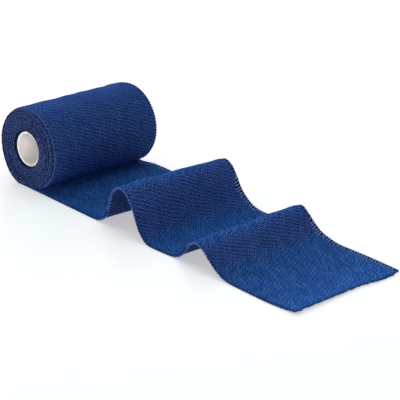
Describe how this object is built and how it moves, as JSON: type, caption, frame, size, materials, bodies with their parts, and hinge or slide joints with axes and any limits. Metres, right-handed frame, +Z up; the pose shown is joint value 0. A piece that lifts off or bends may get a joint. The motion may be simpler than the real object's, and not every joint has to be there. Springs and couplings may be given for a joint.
{
  "type": "cohesive bandage roll",
  "caption": "Blue elastic cohesive bandage wound on a white plastic core tube, its loose end lying on the table in soft waves.",
  "frame": {"origin": "on the table, under the middle of the whole part", "axes": "+X from the roll towards the cut end of the cloth, +Y along the roll's axis, away from the end that shows its core, +Z up"},
  "size_m": [0.2936, 0.1018, 0.0596],
  "materials": {
    "cloth": "matt crepe weave, royal blue",
    "core_plastic": "smooth white"
  },
  "bodies": {
    "root": {"wound_cloth": "cloth", "loose_end": "cloth", "core_tube": "core_plastic"}
  },
  "joints": []
}
